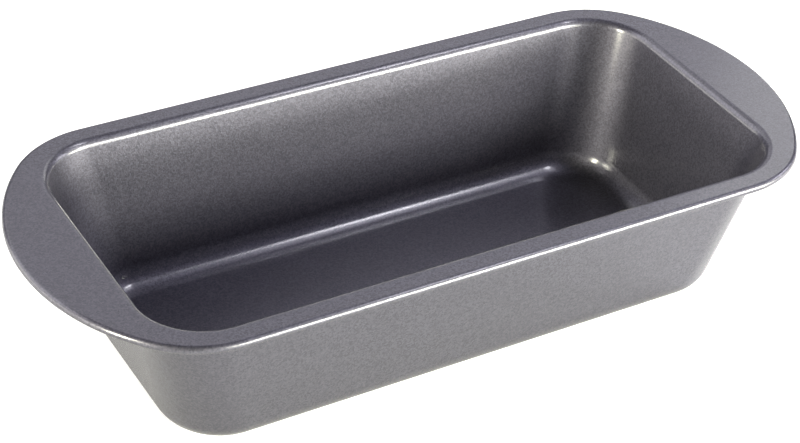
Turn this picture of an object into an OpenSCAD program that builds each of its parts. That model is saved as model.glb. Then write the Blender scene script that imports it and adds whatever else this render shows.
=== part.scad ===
// Loaf pan: one sheet of steel drawn into a rounded, tapered tub with a flat rim.
// The rim widens into an arc at each end as a handle, and its edge is curled under.
// A non-stick coat covers the food side and another the outside.
// Millimetres. X runs along the pan, Y across it, Z up from the table; the origin is under the middle of the floor.

/* [Tub] */
// length of the mouth between the end folds
mouth_length = 250; // [200:1:300]
// width of the mouth between the side folds
mouth_width = 120; // [100:1:150]
// height from the table to the top of the rim
pan_height = 60; // [45:0.5:80]
// radius of the mouth's corners, seen from above
corner_radius = 26; // [20:0.5:34]
// radius between the walls and the floor, food side
floor_radius = 9.5; // [6:0.5:14]
// lean of the end walls from upright, degrees
end_lean = 12.2; // [6:0.1:16]
// lean of the long walls from upright, degrees
side_lean = 9.8; // [5:0.1:14]

/* [Rim] */
// radius where the walls fold out into the rim, food side
fold_radius = 3.25; // [2.5:0.25:5]
// width of the rim along the long sides, fold to outer edge
side_rim = 7; // [6:0.25:14]
// width of the handles at their middle, fold to outer edge
handle_reach = 22.75; // [16:0.25:34]
// radius of the handles' outer arc
handle_arc = 82; // [76:0.5:100]
// radius of the shoulders between the handles and the long sides
shoulder_radius = 38; // [28:0.5:46]
// radius of the hollow inside the curled edge
curl_hollow = 0.8; // [0.4:0.05:1.2]

/* [Sheet] */
// steel sheet
steel_thickness = 0.6; // [0.4:0.05:1]
// non-stick coat on each face
coat_thickness = 0.1; // [0.05:0.01:0.2]

/* [Smoothness] */
// steps round each corner of the tub
corner_steps = 12; // [6:1:16]
// steps round the floor radius
floor_steps = 7; // [4:1:10]
// steps round the fold radius
fold_steps = 4; // [3:1:6]
// steps along each handle's arc
handle_steps = 16; // [8:1:20]
// steps round each shoulder
shoulder_steps = 6; // [4:1:8]
// steps round the curled edge
curl_steps = 7; // [5:1:9]

/* [Hidden] */

// the sheet's faces and seams, as depths below the food side
food_face = 0;
steel_top = coat_thickness;
steel_under = steel_top + steel_thickness;
outside_face = steel_under + coat_thickness;
sheet = outside_face;

// tub
ball_radius = min(floor_radius, 0.85 * corner_radius - fold_radius);
ball_height = sheet + ball_radius;
wall_drop = pan_height - fold_radius - ball_height;
bend_sum = fold_radius + ball_radius;
stations = [for (quarter = [0:3], step = [0:corner_steps]) [quarter, 90 * (quarter + step / corner_steps)]];

// rim outline
bead_radius = sheet + curl_hollow;
curl_turn = 270;
// how far the tub and the curl run on into the rim's flat, so that the three make one sheet
flat_lap = 1;
half_length = mouth_length / 2 + handle_reach;
half_width = mouth_width / 2 + side_rim;
arc_radius = max(handle_arc, half_width + 5);
arc_x = half_length - arc_radius;
shoulder_y = half_width - shoulder_radius;
shoulder_x = arc_x + sqrt(pow(arc_radius - shoulder_radius, 2) - pow(shoulder_y, 2));
shoulder_angle = atan2(shoulder_y, shoulder_x - arc_x);
shoulder_sweep = 90 - shoulder_angle;

// stations along the rim's outline at the +X end: arc centre, arc radius and outward angle
end_stations = concat(
    [for (step = [0:shoulder_steps - 1])
        [[shoulder_x, -shoulder_y], shoulder_radius, shoulder_sweep * step / shoulder_steps - 90]],
    [for (step = [0:handle_steps])
        [[arc_x, 0], arc_radius, shoulder_angle * (2 * step / handle_steps - 1)]],
    [for (step = [1:shoulder_steps])
        [[shoulder_x, shoulder_y], shoulder_radius, shoulder_angle + shoulder_sweep * step / shoulder_steps]]
);
rim_stations = [
    for (end = [0, 1], place = end_stations)
        [(1 - 2 * end) * place[0], place[1], place[2] + 180 * end]
];

// signs of the corner in each quarter turn
function side_x(quarter) = (quarter == 0 || quarter == 3) ? 1 : -1;
function side_y(quarter) = quarter < 2 ? 1 : -1;

// outward direction seen from above, and the direction round the ring
function outward(angle) = [cos(angle), sin(angle)];
function along(angle) = [-sin(angle), cos(angle)];

// lean of the wall that faces an angle, as a slope, and how it changes per radian
function lean(angle) = tan(end_lean) * abs(cos(angle)) + tan(side_lean) * abs(sin(angle));
function lean_change(quarter, angle) =
    tan(side_lean) * side_y(quarter) * cos(angle) - tan(end_lean) * side_x(quarter) * sin(angle);

// centre of a mouth corner
function corner(quarter) = [
    side_x(quarter) * (mouth_length / 2 - corner_radius),
    side_y(quarter) * (mouth_width / 2 - corner_radius)
];

// centre of the ball that would roll along the floor radius, touching the wall that faces an angle
function ball_offset(angle) =
    corner_radius - wall_drop * lean(angle) - bend_sum * norm([1, lean(angle)]);
function ball_shift(quarter, angle) =
    -lean_change(quarter, angle) * (wall_drop + bend_sum * lean(angle) / norm([1, lean(angle)]));
function ball_centre(quarter, angle) =
    corner(quarter) + ball_offset(angle) * outward(angle) + ball_shift(quarter, angle) * along(angle);

// point of the fold, turned from the rim's flat (0) down to the wall (90 less its lean), at a depth in the sheet
function fold_point(quarter, angle, turn, depth) = concat(
    corner(quarter) + (corner_radius - (fold_radius - depth) * sin(turn)) * outward(angle),
    pan_height - fold_radius + (fold_radius - depth) * cos(turn)
);

// point of the floor radius, turned from the floor (0) up to the wall (90 less its lean), at a depth in the sheet
function floor_point(quarter, angle, turn, depth) = concat(
    ball_centre(quarter, angle) + (ball_radius + depth) * sin(turn) * outward(angle),
    ball_height - (ball_radius + depth) * cos(turn)
);

// the fold line, where the tub meets the rim's flat, or a line round it
function fold_line(outset) = [
    for (place = stations) corner(place[0]) + (corner_radius + outset) * outward(place[1])
];

// rings of the tub's face at a depth: from the rim's flat down the fold, over the wall, round to the floor
function full_turn(angle) = 90 - atan(lean(angle));
function tub_rings(depth) = concat(
    [[for (point = fold_line(flat_lap)) concat(point, pan_height - depth)]],
    [for (step = [0:fold_steps]) [for (place = stations)
        fold_point(place[0], place[1], full_turn(place[1]) * step / fold_steps, depth)]],
    [for (step = [floor_steps:-1:0]) [for (place = stations)
        floor_point(place[0], place[1], full_turn(place[1]) * step / floor_steps, depth)]]
);

// point of the rim's outline, drawn in from its outer edge
function rim_point(place, inset) = place[0] + (place[1] - inset) * outward(place[2]);

// point of the curled edge, turned from the rim's flat (0) out and under itself, at a depth in the sheet
function curl_point(place, turn, depth) = concat(
    rim_point(place, bead_radius - (bead_radius - depth) * sin(turn)),
    pan_height - bead_radius + (bead_radius - depth) * cos(turn)
);

// rings of the curl's face at a depth: from the sheet's own edge back into the rim's flat
function curl_rings(depth) = concat(
    [for (step = [curl_steps:-1:0]) [for (place = rim_stations)
        curl_point(place, curl_turn * step / curl_steps, depth)]],
    [[for (place = rim_stations) concat(rim_point(place, bead_radius + flat_lap), pan_height - depth)]]
);

// a layer lofted through the rings of its two faces, from its outer edge inwards, with or without a floor
module loft(upper, under, floored) {
    count = len(upper[0]);
    last = count * (len(upper) - 1);
    shift = count * len(upper);
    points = [for (face = [upper, under], ring = face, point = ring) point];
    places = [0:count - 1];
    function next(place) = (place + 1) % count;
    upper_faces = [
        for (ring = [0:len(upper) - 2], place = places, half = [0:1])
            let (a = ring * count + place, d = ring * count + next(place))
            half == 0 ? [a, a + count, d + count] : [a, d + count, d]
    ];
    under_faces = [for (face = upper_faces) [face[0] + shift, face[2] + shift, face[1] + shift]];
    outer_edge = [for (place = places) [place, next(place), shift + next(place), shift + place]];
    inner_edge = [
        for (place = places) [last + next(place), last + place, shift + last + place, shift + last + next(place)]
    ];
    floors = [
        [for (place = places) last + count - 1 - place],
        [for (place = places) shift + last + place]
    ];
    polyhedron(points, concat(upper_faces, under_faces, outer_edge, floored ? floors : inner_edge));
}

// the tub between two depths of the sheet
module tub_layer(upper, under) loft(tub_rings(upper), tub_rings(under), true);

// the curled edge between two depths of the sheet
module curl_layer(upper, under) loft(curl_rings(upper), curl_rings(under), false);

// the flat of the rim between two depths of the sheet
module rim_layer(upper, under) {
    translate([0, 0, pan_height - under]) linear_extrude(under - upper) difference() {
        polygon([for (place = rim_stations) rim_point(place, bead_radius)]);
        polygon(fold_line(0));
    }
}

// the whole pressing between two depths of the sheet
module sheet_layer(upper, under) {
    tub_layer(upper, under);
    rim_layer(upper, under);
    curl_layer(upper, under);
}

// drawn steel sheet, the pan itself
module steel_body() color([0.62, 0.62, 0.63]) sheet_layer(steel_top, steel_under);

// non-stick coat on the food side, over the rim and round the outside of the curl
module inner_coat() color([0.36, 0.36, 0.39]) sheet_layer(food_face, steel_top);

// coat on the outside and the underside, ending inside the curl
module outer_coat() color([0.44, 0.44, 0.46]) sheet_layer(steel_under, outside_face);

steel_body();
inner_coat();
outer_coat();
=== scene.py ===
"""Loaf pan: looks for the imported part.

The two non-stick coats are rebuilt as smooth pressed skins from the pan's own sizes and stand for their CAD
nodes; the steel between them stays as packed and gets its own finish. A plain pale floor, softboxes and the
photograph's camera complete the scene.
"""

import logging
import math
from dataclasses import dataclass
from enum import Enum
from typing import Sequence

import bpy
import numpy as np
from mathutils import Matrix, Vector


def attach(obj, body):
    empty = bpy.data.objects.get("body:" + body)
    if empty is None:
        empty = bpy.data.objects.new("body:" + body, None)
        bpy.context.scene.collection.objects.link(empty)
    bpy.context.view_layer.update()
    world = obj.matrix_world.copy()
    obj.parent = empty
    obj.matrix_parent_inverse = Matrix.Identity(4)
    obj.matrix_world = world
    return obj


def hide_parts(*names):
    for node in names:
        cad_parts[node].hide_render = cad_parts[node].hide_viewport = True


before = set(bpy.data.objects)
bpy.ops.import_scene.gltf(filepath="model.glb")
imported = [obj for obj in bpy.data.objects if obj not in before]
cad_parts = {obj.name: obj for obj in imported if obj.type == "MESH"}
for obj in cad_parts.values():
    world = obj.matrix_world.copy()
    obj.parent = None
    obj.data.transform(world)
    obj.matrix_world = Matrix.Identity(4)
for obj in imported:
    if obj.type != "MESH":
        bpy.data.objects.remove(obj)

LOG = logging.getLogger("loaf_pan")
BODY = "root"
MM = 0.001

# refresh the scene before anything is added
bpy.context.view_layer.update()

Triple = tuple[float, float, float]
Colour = Triple
# points of one ring of the sheet, and the food side's normals there
Ring = tuple[np.ndarray, np.ndarray]


class Layer(Enum):
    """The two coats that show, by the CAD node that each stands for."""

    FOOD_SIDE = "inner_coat"
    OUTSIDE = "outer_coat"


@dataclass(frozen=True)
class PanSizes:
    """The pan's sizes in metres and degrees, as the CAD model has them."""

    mouth_length: float = 250 * MM
    mouth_width: float = 120 * MM
    pan_height: float = 60 * MM
    corner_radius: float = 26 * MM
    floor_radius: float = 9.5 * MM
    end_lean: float = 12.2
    side_lean: float = 9.8
    fold_radius: float = 3.25 * MM
    side_rim: float = 7 * MM
    handle_reach: float = 22.75 * MM
    handle_arc: float = 82 * MM
    shoulder_radius: float = 38 * MM
    curl_hollow: float = 0.8 * MM
    curl_turn: float = 270.0
    steel: float = 0.6 * MM
    coat: float = 0.1 * MM

    @property
    def sheet(self) -> float:
        """Thickness of steel and both coats."""
        return self.steel + 2 * self.coat

    @property
    def bead_radius(self) -> float:
        """Outer radius of the curled edge."""
        return self.sheet + self.curl_hollow


@dataclass(frozen=True)
class Steps:
    """How finely the skins are divided."""

    end_half: int = 8
    corner_at_handle: int = 14
    corner_at_shoulder: int = 22
    side_half: int = 16
    curl: int = 24
    flat: int = 4
    fold: int = 12
    wall: int = 12
    floor_bend: int = 18
    floor: int = 5


@dataclass
class PressedSheet:
    """The pan's one pressed sheet, sampled in rings from its raw edge to the middle of the floor.

    Only a quarter is computed, from the middle of the +X handle to the middle of the +Y side. The rest is
    mirrored.
    """

    sizes: PanSizes
    steps: Steps

    def __post_init__(self) -> None:
        """Lays out the quarter's stations along the rim's outline and round the tub."""
        self._lay_rim()
        self._lay_tub()

    def _lay_rim(self) -> None:
        """Finds each station's arc centre, arc radius and outward direction on the rim's outline."""
        size, count = self.sizes, self.steps
        half_length = size.mouth_length / 2 + size.handle_reach
        half_width = size.mouth_width / 2 + size.side_rim
        arc_x = half_length - size.handle_arc
        shoulder_y = half_width - size.shoulder_radius
        shoulder_x = arc_x + math.sqrt((size.handle_arc - size.shoulder_radius) ** 2 - shoulder_y**2)
        meet = math.atan2(shoulder_y, shoulder_x - arc_x)
        handle = np.linspace(0, meet, count.end_half + count.corner_at_handle + 1)
        shoulder = np.linspace(meet, math.pi / 2, count.corner_at_shoulder + 1)[1:]
        side = np.linspace(shoulder_x, 0, count.side_half + 1)[1:]
        past_handle = len(shoulder) + len(side)
        angle = np.concatenate([handle, shoulder, np.full(len(side), math.pi / 2)])
        centre_x = np.concatenate([np.full(len(handle), arc_x), np.full(len(shoulder), shoulder_x), side])
        centre_y = np.concatenate([np.zeros(len(handle)), np.full(past_handle, shoulder_y)])
        self.rim_radius = np.concatenate(
            [np.full(len(handle), size.handle_arc), np.full(past_handle, size.shoulder_radius)]
        )
        self.rim_centre = np.stack([centre_x, centre_y], axis=1)
        self.rim_out = np.stack([np.cos(angle), np.sin(angle)], axis=1)

    def _lay_tub(self) -> None:
        """Finds each station's mouth centre, outward direction, lean and floor-bend centre on the tub."""
        size, count = self.sizes, self.steps
        axis_x = size.mouth_length / 2 - size.corner_radius
        axis_y = size.mouth_width / 2 - size.corner_radius
        corner_steps = count.corner_at_handle + count.corner_at_shoulder
        end = np.linspace(0, 1, count.end_half + 1)[:-1]
        turn = np.linspace(0, math.pi / 2, corner_steps + 1)
        side = np.linspace(1, 0, count.side_half + 1)[1:]
        angle = np.concatenate([np.zeros(len(end)), turn, np.full(len(side), math.pi / 2)])
        share_x = np.concatenate([np.ones(len(end) + len(turn)), side])
        share_y = np.concatenate([end, np.ones(len(turn) + len(side))])
        out = np.stack([np.cos(angle), np.sin(angle)], axis=1)
        along = np.stack([-np.sin(angle), np.cos(angle)], axis=1)
        end_slope = math.tan(math.radians(size.end_lean))
        side_slope = math.tan(math.radians(size.side_lean))
        slope = end_slope * out[:, 0] + side_slope * out[:, 1]
        slope_change = side_slope * out[:, 0] * share_y - end_slope * out[:, 1] * share_x
        stretch = np.sqrt(1 + slope**2)
        bend_height = size.sheet + size.floor_radius
        wall_drop = size.pan_height - size.fold_radius - bend_height
        bend_sum = size.fold_radius + size.floor_radius
        inset = size.corner_radius - wall_drop * slope - bend_sum * stretch
        shift = -slope_change * (wall_drop + bend_sum * slope / stretch)
        self.tub_centre = np.stack([axis_x * share_x, axis_y * share_y], axis=1)
        self.tub_out = out
        self.full_turn = math.pi / 2 - np.arctan(slope)
        self.bend_centre = self.tub_centre + inset[:, None] * out + shift[:, None] * along
        self.bend_height = bend_height

    def _curl(self, turn: float, depth: float) -> Ring:
        """Quarter ring of the curled edge.

        Args:
            turn: how far the edge has rolled over from the rim's flat, in radians.
            depth: depth in the sheet below the food side.

        Returns:
            The ring.
        """
        size = self.sizes
        reach = size.bead_radius - depth
        radius = self.rim_radius - size.bead_radius + reach * math.sin(turn)
        flat = self.rim_centre + radius[:, None] * self.rim_out
        height = np.full(len(flat), size.pan_height - size.bead_radius + reach * math.cos(turn))
        normal = np.column_stack([math.sin(turn) * self.rim_out, np.full(len(flat), math.cos(turn))])
        return np.column_stack([flat, height]), normal

    def _fold(self, share: float, depth: float) -> Ring:
        """Quarter ring of the fold between rim and wall.

        Args:
            share: how much of the fold's turn is done, from the rim's flat (0) to the wall (1).
            depth: depth in the sheet below the food side.

        Returns:
            The ring.
        """
        size = self.sizes
        turn = self.full_turn * share
        reach = size.fold_radius - depth
        flat = self.tub_centre + (size.corner_radius - reach * np.sin(turn))[:, None] * self.tub_out
        height = size.pan_height - size.fold_radius + reach * np.cos(turn)
        return np.column_stack([flat, height]), self._tub_normal(turn)

    def _floor_bend(self, share: float, depth: float) -> Ring:
        """Quarter ring of the bend between wall and floor.

        Args:
            share: how much of the bend's turn is left, from the floor (0) to the wall (1).
            depth: depth in the sheet below the food side.

        Returns:
            The ring.
        """
        turn = self.full_turn * share
        reach = self.sizes.floor_radius + depth
        flat = self.bend_centre + (reach * np.sin(turn))[:, None] * self.tub_out
        height = self.bend_height - reach * np.cos(turn)
        return np.column_stack([flat, height]), self._tub_normal(turn)

    def _tub_normal(self, turn: np.ndarray) -> np.ndarray:
        """Food-side normals of the tub.

        Args:
            turn: how far the sheet has turned from level at each station, in radians.

        Returns:
            The normals, which lean into the tub.
        """
        return np.column_stack([-np.sin(turn)[:, None] * self.tub_out, np.cos(turn)])

    @staticmethod
    def _between(first: Ring, last: Ring, count: int) -> list[Ring]:
        """Straight rings strictly between two rings.

        Args:
            first: ring that they start from.
            last: ring that they lead to.
            count: number of bands between the two.

        Returns:
            The rings, with the first ring's normals.
        """
        shares = [step / count for step in range(1, count)]
        return [((1 - share) * first[0] + share * last[0], first[1]) for share in shares]

    def quarter_rings(self, depth: float) -> list[Ring]:
        """All rings of one quarter at a depth, from the raw edge to the last ring before the floor's middle.

        Args:
            depth: depth in the sheet below the food side.

        Returns:
            The rings in order.
        """
        count = self.steps
        curl_turn = math.radians(self.sizes.curl_turn)
        rings = [self._curl(curl_turn * step / count.curl, depth) for step in range(count.curl, -1, -1)]
        fold = [self._fold(step / count.fold, depth) for step in range(count.fold + 1)]
        bend = [self._floor_bend(step / count.floor_bend, depth) for step in range(count.floor_bend, -1, -1)]
        rings += self._between(rings[-1], fold[0], count.flat)
        rings += fold
        rings += self._between(fold[-1], bend[0], count.wall)
        rings += bend
        floor_edge, upright = bend[-1]
        for step in range(1, count.floor):
            share = 1 - step / count.floor
            rings.append((floor_edge * np.array([share, share, 1]), upright))
        return rings

    @staticmethod
    def _full(quarter: np.ndarray) -> np.ndarray:
        """A quarter's vectors mirrored into a full turn.

        Args:
            quarter: vectors from the +X axis to the +Y axis.

        Returns:
            Vectors all the way round, each once.
        """
        back = quarter[-2::-1] * np.array([-1, 1, 1])
        left = quarter[1:] * np.array([-1, -1, 1])
        front = quarter[-2:0:-1] * np.array([1, -1, 1])
        return np.concatenate([quarter, back, left, front])

    def face(self, depth: float) -> tuple[np.ndarray, np.ndarray]:
        """One face of the sheet as stacked full rings.

        Args:
            depth: depth in the sheet below the food side.

        Returns:
            Points and food-side normals, each of shape rings by stations by 3.
        """
        rings = self.quarter_rings(depth)
        points = np.stack([self._full(ring[0]) for ring in rings])
        normals = np.stack([self._full(ring[1]) for ring in rings])
        return points, normals


@dataclass
class CoatSkin:
    """One coat as a closed thin skin between two depths of the sheet."""

    sheet: PressedSheet
    upper: float
    under: float

    def build(self, name: str) -> bpy.types.Object:
        """Makes the skin's mesh, with exact normals on its faces.

        Args:
            name: name of the piece.

        Returns:
            The new object, linked to the scene.
        """
        upper, normals = self.sheet.face(self.upper)
        under, _ = self.sheet.face(self.under)
        rings, count, _ = upper.shape
        middles = np.array([[0, 0, upper[-1, 0, 2]], [0, 0, under[-1, 0, 2]]])
        points = np.concatenate([upper.reshape(-1, 3), under.reshape(-1, 3), middles])
        normals = normals.reshape(-1, 3)
        outward = np.concatenate([normals, -normals, [[0, 0, 1], [0, 0, -1]]])
        faces, edge_faces = self._faces(rings, count)
        mesh = bpy.data.meshes.new(name)
        mesh.from_pydata(points.tolist(), [], faces)
        mesh.update()
        self._set_normals(mesh, outward, edge_faces)
        piece = bpy.data.objects.new(name, mesh)
        bpy.context.scene.collection.objects.link(piece)
        return piece

    @staticmethod
    def _faces(rings: int, count: int) -> tuple[list[list[int]], range]:
        """Faces over the vertices of the upper rings, the under rings and the two middles, in that order.

        Args:
            rings: number of rings on each side.
            count: number of vertices in a ring.

        Returns:
            The vertices of each face, and the indices of the raw edge's faces.
        """
        shift, middle = rings * count, 2 * rings * count
        place = np.arange(count)
        after = (place + 1) % count
        bands = np.arange(rings - 1)[:, None] * count
        corners = [bands + place, bands + after, bands + after + count, bands + place + count]
        top = np.stack(corners, axis=2).reshape(-1, 4)
        below = top[:, ::-1] + shift
        edge = np.stack([place, place + shift, after + shift, after], axis=1)
        last = (rings - 1) * count
        top_fan = np.stack([last + place, last + after, np.full(count, middle)], axis=1)
        under_fan = np.stack([last + after + shift, last + place + shift, np.full(count, middle + 1)], axis=1)
        faces = [face for group in (top, below, edge, top_fan, under_fan) for face in group.tolist()]
        first_edge = len(top) + len(below)
        return faces, range(first_edge, first_edge + len(edge))

    @staticmethod
    def _set_normals(mesh: bpy.types.Mesh, outward: np.ndarray, edge_faces: range) -> None:
        """Gives every face corner its surface's own normal, and the raw edge's faces flat ones.

        Args:
            mesh: the skin.
            outward: normal of each vertex.
            edge_faces: indices of the raw edge's faces.
        """
        corner_vertex = np.empty(len(mesh.loops), dtype=np.int32)
        mesh.loops.foreach_get("vertex_index", corner_vertex)
        corner_normals = outward[corner_vertex]
        for index in edge_faces:
            polygon = mesh.polygons[index]
            corner_normals[list(polygon.loop_indices)] = polygon.normal
        mesh.polygons.foreach_set("use_smooth", [True] * len(mesh.polygons))
        mesh.normals_split_custom_set(corner_normals.tolist())


class NodeKit:
    """Short ways to place and join shader nodes in one node tree."""

    # places of a Mix node's colour sockets, whose names aren't unique
    MIX_SHARE = 0
    MIX_FIRST = 6
    MIX_SECOND = 7
    MIX_RESULT = 2

    def __init__(self, tree: bpy.types.NodeTree) -> None:
        """Takes the tree to work in.

        Args:
            tree: the node tree.
        """
        self.tree = tree

    def add(self, kind: str, **values: object) -> bpy.types.Node:
        """Adds a node.

        Args:
            kind: the node's type.
            values: properties of the node to set.

        Returns:
            The node.
        """
        node = self.tree.nodes.new(kind)
        for key, value in values.items():
            setattr(node, key, value)
        return node

    def join(self, source: bpy.types.NodeSocket, target: bpy.types.NodeSocket) -> None:
        """Links two sockets.

        Args:
            source: output that the link starts from.
            target: input that it leads to.
        """
        self.tree.links.new(source, target)

    def math(
        self, operation: str, first: bpy.types.NodeSocket, second: bpy.types.NodeSocket | float
    ) -> bpy.types.NodeSocket:
        """Adds a Math node.

        Args:
            operation: what it does.
            first: output that it works on.
            second: another output, or a number.

        Returns:
            Its output.
        """
        node = self.add("ShaderNodeMath", operation=operation)
        self.join(first, node.inputs[0])
        if isinstance(second, bpy.types.NodeSocket):
            self.join(second, node.inputs[1])
        else:
            node.inputs[1].default_value = second
        return node.outputs[0]

    def span(
        self, value: bpy.types.NodeSocket, start: float, end: float, low: float, high: float
    ) -> bpy.types.NodeSocket:
        """Maps a value from one span to another, clamped.

        Args:
            value: what is mapped.
            start: low end of the input span.
            end: high end of the input span.
            low: output at start.
            high: output at end.

        Returns:
            The mapped value.
        """
        node = self.add("ShaderNodeMapRange")
        self.join(value, node.inputs["Value"])
        for key, number in (("From Min", start), ("From Max", end), ("To Min", low), ("To Max", high)):
            node.inputs[key].default_value = number
        return node.outputs["Result"]

    def blend(self, share: bpy.types.NodeSocket, first: Colour, second: Colour) -> bpy.types.NodeSocket:
        """Mixes two colours.

        Args:
            share: how much of the second colour shows.
            first: colour at a share of 0.
            second: colour at a share of 1.

        Returns:
            The mixed colour.
        """
        node = self.add("ShaderNodeMix", data_type="RGBA")
        self.join(share, node.inputs[self.MIX_SHARE])
        node.inputs[self.MIX_FIRST].default_value = (*first, 1)
        node.inputs[self.MIX_SECOND].default_value = (*second, 1)
        return node.outputs[self.MIX_RESULT]


class FleckGroup:
    """Shader node group: metal flecks and a faint unevenness in a sprayed coat."""

    NAME = "metal_flecks"
    GRAIN_DETAIL = 2.0
    GRAIN_ROUGHNESS = 0.6
    CLOUD_PER_FLECK = 0.045
    CLOUD_DETAIL = 3.0
    CLOUD_LOW = 0.3
    CLOUD_HIGH = 0.7

    def __init__(self) -> None:
        """Builds the group once."""
        self.tree = bpy.data.node_groups.new(self.NAME, "ShaderNodeTree")
        face = self.tree.interface
        face.new_socket("Flecks per metre", in_out="INPUT", socket_type="NodeSocketFloat")
        for result in ("Fleck", "Cloud", "Height"):
            face.new_socket(result, in_out="OUTPUT", socket_type="NodeSocketFloat")
        kit = NodeKit(self.tree)
        given = kit.add("NodeGroupInput")
        out = kit.add("NodeGroupOutput")
        place = kit.add("ShaderNodeTexCoord")
        scale = given.outputs["Flecks per metre"]
        grain = kit.add("ShaderNodeTexNoise", noise_dimensions="3D")
        grain.inputs["Detail"].default_value = self.GRAIN_DETAIL
        grain.inputs["Roughness"].default_value = self.GRAIN_ROUGHNESS
        cells = kit.add("ShaderNodeTexVoronoi", voronoi_dimensions="3D", feature="F1")
        cloud = kit.add("ShaderNodeTexNoise", noise_dimensions="3D")
        cloud.inputs["Detail"].default_value = self.CLOUD_DETAIL
        for node in (grain, cells, cloud):
            kit.join(place.outputs["Object"], node.inputs["Vector"])
        kit.join(scale, grain.inputs["Scale"])
        kit.join(scale, cells.inputs["Scale"])
        kit.join(kit.math("MULTIPLY", scale, self.CLOUD_PER_FLECK), cloud.inputs["Scale"])
        shade = kit.add("ShaderNodeSeparateColor")
        kit.join(cells.outputs["Color"], shade.inputs["Color"])
        cloudy = kit.span(cloud.outputs["Fac"], self.CLOUD_LOW, self.CLOUD_HIGH, 0.0, 1.0)
        kit.join(shade.outputs["Red"], out.inputs["Fleck"])
        kit.join(cloudy, out.inputs["Cloud"])
        kit.join(grain.outputs["Fac"], out.inputs["Height"])


@dataclass(frozen=True)
class CoatFinish:
    """Sprayed non-stick coat: metal flecks under a clear layer."""

    name: str
    dark: Colour
    light: Colour
    clear_index: float
    clear_weight: float = 1.0
    clear_roughness: float = 0.18
    metallic: float = 1.0
    smooth: float = 0.49
    rough: float = 0.55
    flecks_per_metre: float = 1800.0
    bump_strength: float = 1.0
    bump_height: float = 0.12 * MM

    def material(self, flecks: FleckGroup) -> bpy.types.Material:
        """Builds the coat's material.

        Args:
            flecks: the shared fleck group.

        Returns:
            The material.
        """
        made = bpy.data.materials.new(self.name)
        made.use_nodes = True
        kit = NodeKit(made.node_tree)
        shader = made.node_tree.nodes["Principled BSDF"]
        shader.inputs["Metallic"].default_value = self.metallic
        shader.inputs["Coat Weight"].default_value = self.clear_weight
        shader.inputs["Coat IOR"].default_value = self.clear_index
        shader.inputs["Coat Roughness"].default_value = self.clear_roughness
        speckle = kit.add("ShaderNodeGroup", node_tree=flecks.tree)
        speckle.inputs["Flecks per metre"].default_value = self.flecks_per_metre
        roughness = kit.span(speckle.outputs["Cloud"], 0, 1, self.smooth, self.rough)
        kit.join(kit.blend(speckle.outputs["Fleck"], self.dark, self.light), shader.inputs["Base Color"])
        kit.join(roughness, shader.inputs["Roughness"])
        bump = kit.add("ShaderNodeBump")
        bump.inputs["Strength"].default_value = self.bump_strength
        bump.inputs["Distance"].default_value = self.bump_height
        kit.join(speckle.outputs["Height"], bump.inputs["Height"])
        kit.join(bump.outputs["Normal"], shader.inputs["Normal"])
        return made


@dataclass(frozen=True)
class SteelFinish:
    """Plain rolled steel, as the raw edge shows it."""

    name: str = "rolled_steel"
    dark: Colour = (0.36, 0.36, 0.37)
    light: Colour = (0.52, 0.52, 0.53)
    metallic: float = 1.0
    smooth: float = 0.3
    rough: float = 0.5
    streaks_per_metre: float = 900.0
    streak_squeeze: Triple = (0.05, 1.0, 1.0)
    streak_low: float = 0.2
    streak_high: float = 0.8

    def material(self) -> bpy.types.Material:
        """Builds the steel's material, streaked along its rolling direction.

        Returns:
            The material.
        """
        made = bpy.data.materials.new(self.name)
        made.use_nodes = True
        kit = NodeKit(made.node_tree)
        shader = made.node_tree.nodes["Principled BSDF"]
        shader.inputs["Metallic"].default_value = self.metallic
        place = kit.add("ShaderNodeTexCoord")
        stretch = kit.add("ShaderNodeMapping")
        stretch.inputs["Scale"].default_value = self.streak_squeeze
        streak = kit.add("ShaderNodeTexNoise")
        streak.inputs["Scale"].default_value = self.streaks_per_metre
        kit.join(place.outputs["Object"], stretch.inputs["Vector"])
        kit.join(stretch.outputs["Vector"], streak.inputs["Vector"])
        depth = streak.outputs["Fac"]
        roughness = kit.span(depth, self.streak_low, self.streak_high, self.smooth, self.rough)
        kit.join(kit.blend(depth, self.dark, self.light), shader.inputs["Base Color"])
        kit.join(roughness, shader.inputs["Roughness"])
        return made


FOOD_SIDE_FINISH = CoatFinish(
    name="food_side_non_stick",
    dark=(0.099, 0.095, 0.123),
    light=(0.159, 0.153, 0.197),
    clear_index=1.6,
)
OUTSIDE_FINISH = CoatFinish(
    name="outside_non_stick",
    dark=(0.103, 0.099, 0.128),
    light=(0.1605, 0.1555, 0.2),
    clear_index=1.5,
)


@dataclass
class LoafPan:
    """The whole pan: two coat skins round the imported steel."""

    sizes: PanSizes
    steps: Steps

    def build(self) -> None:
        """Makes, dresses and seats the pan's pieces."""
        size = self.sizes
        sheet = PressedSheet(size, self.steps)
        flecks = FleckGroup()
        food_side = CoatSkin(sheet, 0.0, size.coat)
        outside = CoatSkin(sheet, size.coat + size.steel, size.sheet)
        skins = (
            (food_side, Layer.FOOD_SIDE, "food_side_skin", "food_side_coat", FOOD_SIDE_FINISH),
            (outside, Layer.OUTSIDE, "outside_skin", "outside_coat", OUTSIDE_FINISH),
        )
        for skin, layer, name, slot, finish in skins:
            piece = skin.build(name)
            piece.data.materials.append(finish.material(flecks))
            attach(piece, BODY)
            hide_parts(layer.value)
            LOG.info("%s stands for %s, %d faces", name, layer.value, len(piece.data.polygons))
        self._dress_steel()

    @staticmethod
    def _dress_steel() -> None:
        """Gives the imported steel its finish."""
        steel = SteelFinish().material()
        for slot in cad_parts["steel_body"].material_slots:
            slot.material = steel
        LOG.info("steel_body keeps its packed shape, in %s", steel.name)


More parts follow.
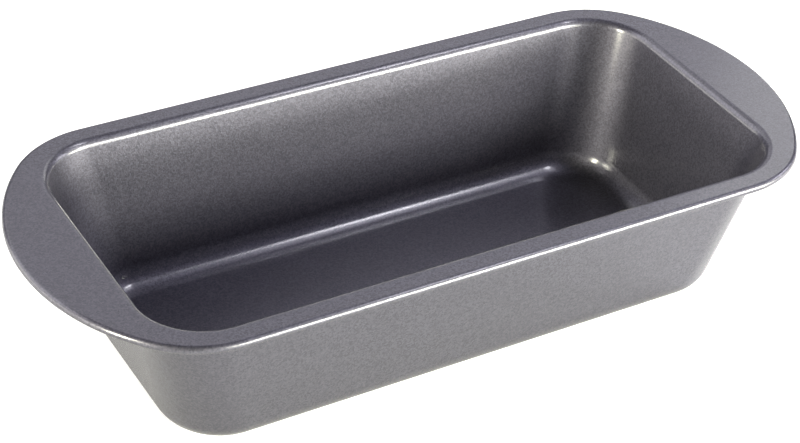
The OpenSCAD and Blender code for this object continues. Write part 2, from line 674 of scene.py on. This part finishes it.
@dataclass(frozen=True)
class Softbox:
    """A rectangular studio light that faces the pan.

    Its azimuth is 0 on the -Y side and grows towards +X; its sizes are in metres.
    """

    name: str
    azimuth: float
    elevation: float
    width: float
    height: float
    radiance: float
    tint: Colour = (1.0, 1.0, 1.0)
    distance: float = 2.0
    floor_only: bool = False

    def build(self, target: Vector) -> None:
        """Hangs the light.

        Args:
            target: the point that it faces.
        """
        turn, rise = math.radians(self.azimuth), math.radians(self.elevation)
        away = Vector((math.sin(turn) * math.cos(rise), -math.cos(turn) * math.cos(rise), math.sin(rise)))
        lamp = bpy.data.lights.new(self.name, "AREA")
        lamp.shape = "RECTANGLE"
        lamp.size, lamp.size_y = self.width, self.height
        lamp.energy = self.radiance * math.pi * self.width * self.height
        lamp.color = self.tint
        light = bpy.data.objects.new(self.name, lamp)
        facing = away.to_track_quat("Z", "Y").to_matrix().to_4x4()
        light.matrix_world = Matrix.Translation(target + away * self.distance) @ facing
        light.visible_camera = False
        light.visible_glossy = not self.floor_only
        bpy.context.scene.collection.objects.link(light)


@dataclass(frozen=True)
class PhotoCamera:
    """The photograph's camera, as fitted to the pan's edges.

    Its place is in metres, its angles are in degrees and its sensor is in millimetres.
    """

    place: Triple = (-0.334364, -0.526321, 0.471844)
    yaw: float = -32.048
    pitch: float = -35.211
    roll: float = 3.862
    focal_pixels: float = 2128.229
    image_width: int = 800
    sensor: float = 36.0
    near: float = 0.01
    far: float = 50.0

    def build(self) -> None:
        """Makes the camera and sets it as the scene's own."""
        yaw, pitch, roll = (math.radians(angle) for angle in (self.yaw, self.pitch, self.roll))
        ahead = Vector((-math.sin(yaw) * math.cos(pitch), math.cos(yaw) * math.cos(pitch), math.sin(pitch)))
        right = ahead.cross(Vector((0, 0, 1))).normalized()
        above = right.cross(ahead)
        across = math.cos(roll) * right + math.sin(roll) * above
        upward = -math.sin(roll) * right + math.cos(roll) * above
        lens = bpy.data.cameras.new("photo_camera")
        lens.sensor_fit = "HORIZONTAL"
        lens.sensor_width = self.sensor
        lens.lens = self.sensor * self.focal_pixels / self.image_width
        lens.clip_start, lens.clip_end = self.near, self.far
        camera = bpy.data.objects.new("photo_camera", lens)
        turn = Matrix((across, upward, -ahead)).transposed().to_4x4()
        camera.matrix_world = Matrix.Translation(Vector(self.place)) @ turn
        bpy.context.scene.collection.objects.link(camera)
        bpy.context.scene.camera = camera


@dataclass
class Studio:
    """Floor, world, softboxes and camera."""

    softboxes: Sequence[Softbox]
    floor_half: float = 20.0
    floor_colour: Colour = (0.8, 0.8, 0.8)
    floor_glow: float = 0.62
    floor_mirrored: float = 0.08
    world_colour: Colour = (1.0, 1.0, 1.0)
    world_light: float = 0.02
    target: Triple = (0.0, 0.0, 0.03)

    def build(self) -> None:
        """Sets the whole studio up."""
        bpy.context.scene.view_settings.view_transform = "Standard"
        self._floor()
        self._world()
        for softbox in self.softboxes:
            softbox.build(Vector(self.target))
        PhotoCamera().build()
        LOG.info("studio: floor, world and %d softboxes", len(self.softboxes))

    def _glow(self, kit: NodeKit) -> bpy.types.NodeSocket:
        """Strength of the floor's glow.

        Args:
            kit: the floor material's node kit.

        Returns:
            One value for the eye, a lower one for what mirrors or passes light, else 0.
        """
        path = kit.add("ShaderNodeLightPath")
        passed = kit.math("MAXIMUM", path.outputs["Is Glossy Ray"], path.outputs["Is Transmission Ray"])
        mirrored = kit.math("MULTIPLY", passed, self.floor_mirrored)
        seen = kit.math("MULTIPLY", path.outputs["Is Camera Ray"], self.floor_glow)
        return kit.math("MAXIMUM", mirrored, seen)

    def _floor(self) -> None:
        """Lays the pale floor, which glows to the eye but keeps the pan's shadow."""
        half = self.floor_half
        corners = [(-half, -half, 0), (half, -half, 0), (half, half, 0), (-half, half, 0)]
        mesh = bpy.data.meshes.new("floor")
        mesh.from_pydata(corners, [], [(0, 1, 2, 3)])
        floor = bpy.data.objects.new("floor", mesh)
        bpy.context.scene.collection.objects.link(floor)
        made = bpy.data.materials.new("pale_floor")
        made.use_nodes = True
        kit = NodeKit(made.node_tree)
        made.node_tree.nodes.remove(made.node_tree.nodes["Principled BSDF"])
        matt = kit.add("ShaderNodeBsdfDiffuse")
        glow = kit.add("ShaderNodeEmission")
        both = kit.add("ShaderNodeAddShader")
        matt.inputs["Color"].default_value = (*self.floor_colour, 1)
        kit.join(self._glow(kit), glow.inputs["Strength"])
        kit.join(matt.outputs[0], both.inputs[0])
        kit.join(glow.outputs[0], both.inputs[1])
        kit.join(both.outputs[0], made.node_tree.nodes["Material Output"].inputs["Surface"])
        mesh.materials.append(made)

    def _world(self) -> None:
        """Makes the world a plain dim fill; the camera sees only the floor."""
        world = bpy.data.worlds.new("dim_surround")
        world.use_nodes = True
        bpy.context.scene.world = world
        back = world.node_tree.nodes["Background"]
        back.inputs["Color"].default_value = (*self.world_colour, 1)
        back.inputs["Strength"].default_value = self.world_light


KEY_SOFTBOXES = (
    Softbox(
        "key_low_softbox", azimuth=36.5, elevation=4.35, width=1.3, height=0.15, radiance=75.0,
        tint=(0.99, 1.0, 0.81),
    ),
    Softbox(
        "key_left_softbox", azimuth=5, elevation=13.6, width=0.34, height=0.81, radiance=8.5,
        tint=(0.99, 1.0, 0.77),
    ),
    Softbox(
        "key_right_softbox", azimuth=36, elevation=10.75, width=0.69, height=0.3, radiance=24.0,
        tint=(0.99, 1.0, 0.77),
    ),
    Softbox(
        "key_high_softbox", azimuth=24, elevation=19, width=0.95, height=0.33, radiance=32.0,
        tint=(0.99, 0.99, 0.86),
    ),
)
LEFT_SOFTBOXES = (
    Softbox(
        "left_softbox", azimuth=-80.5, elevation=15, width=0.3, height=0.95, radiance=51.0,
        tint=(0.98, 0.96, 0.76),
    ),
    Softbox(
        "left_back_softbox", azimuth=-128, elevation=15, width=1.5, height=0.8, radiance=1.7,
        tint=(1.0, 0.99, 0.92),
    ),
    Softbox(
        "left_low_softbox", azimuth=-128, elevation=4.5, width=1.3, height=0.16, radiance=6.5,
        tint=(1.0, 0.99, 0.88),
    ),
)
TOP_SOFTBOXES = (
    Softbox(
        "top_softbox", azimuth=58, elevation=59, width=0.32, height=0.19, radiance=27.0,
        tint=(0.93, 0.92, 1.0),
    ),
    Softbox(
        "top_mid_softbox", azimuth=75, elevation=62.5, width=0.3, height=0.34, radiance=4.6,
        tint=(0.92, 0.91, 1.0),
    ),
    Softbox(
        "top_side_softbox", azimuth=94, elevation=64, width=0.4, height=0.4, radiance=1.6,
        tint=(0.9, 0.88, 1.0),
    ),
)
RIGHT_AND_BACK_SOFTBOXES = (
    Softbox(
        "right_softbox", azimuth=78, elevation=25, width=0.25, height=0.25, radiance=5.5,
        tint=(0.9, 0.88, 1.0), distance=0.75,
    ),
    Softbox("back_right_softbox", azimuth=128, elevation=29, width=0.42, height=1.3, radiance=2.1),
    Softbox(
        "back_mid_softbox", azimuth=151, elevation=33, width=1.0, height=1.5, radiance=0.9,
        tint=(0.96, 0.94, 1.0),
    ),
    Softbox("back_left_softbox", azimuth=186, elevation=40.5, width=0.92, height=0.89, radiance=1.35),
    Softbox(
        "far_left_softbox", azimuth=222, elevation=39, width=1.14, height=0.9, radiance=2.6,
        tint=(0.96, 0.94, 1.0),
    ),
)
FLOOR_SOFTBOX = Softbox(
    "floor_softbox", azimuth=112, elevation=36, width=0.8, height=0.8, radiance=14.0, floor_only=True
)
SOFTBOXES = (*KEY_SOFTBOXES, *LEFT_SOFTBOXES, *TOP_SOFTBOXES, *RIGHT_AND_BACK_SOFTBOXES, FLOOR_SOFTBOX)


def main() -> None:
    """Builds the pan and its studio in order."""
    logging.basicConfig(level=logging.INFO, format="%(name)s: %(message)s")
    LoafPan(PanSizes(), Steps()).build()
    Studio(SOFTBOXES).build()


if __name__ == "__main__":
    main()
